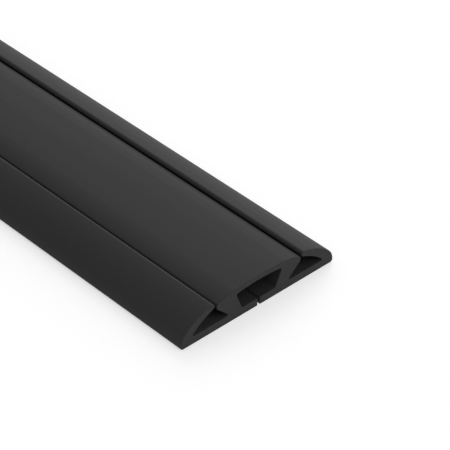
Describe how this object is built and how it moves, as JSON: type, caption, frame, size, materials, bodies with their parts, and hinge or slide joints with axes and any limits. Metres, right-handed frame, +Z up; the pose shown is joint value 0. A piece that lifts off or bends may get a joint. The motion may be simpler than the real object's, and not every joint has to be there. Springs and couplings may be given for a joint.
{
  "type": "cord protector",
  "caption": "Low extruded floor strip of flexible black PVC that shields cords: an arched hump over a centre channel, with a sloping flap over a channel on each side.",
  "frame": {"origin": "middle of the flat base, halfway along the length, on the floor", "axes": "+X along the length, +Y across the width, +Z up from the floor"},
  "size_m": [1.524, 0.0762, 0.0139],
  "materials": {
    "flexible_pvc": "matte"
  },
  "bodies": {
    "root": {"cord_protector": "flexible_pvc"}
  },
  "joints": []
}
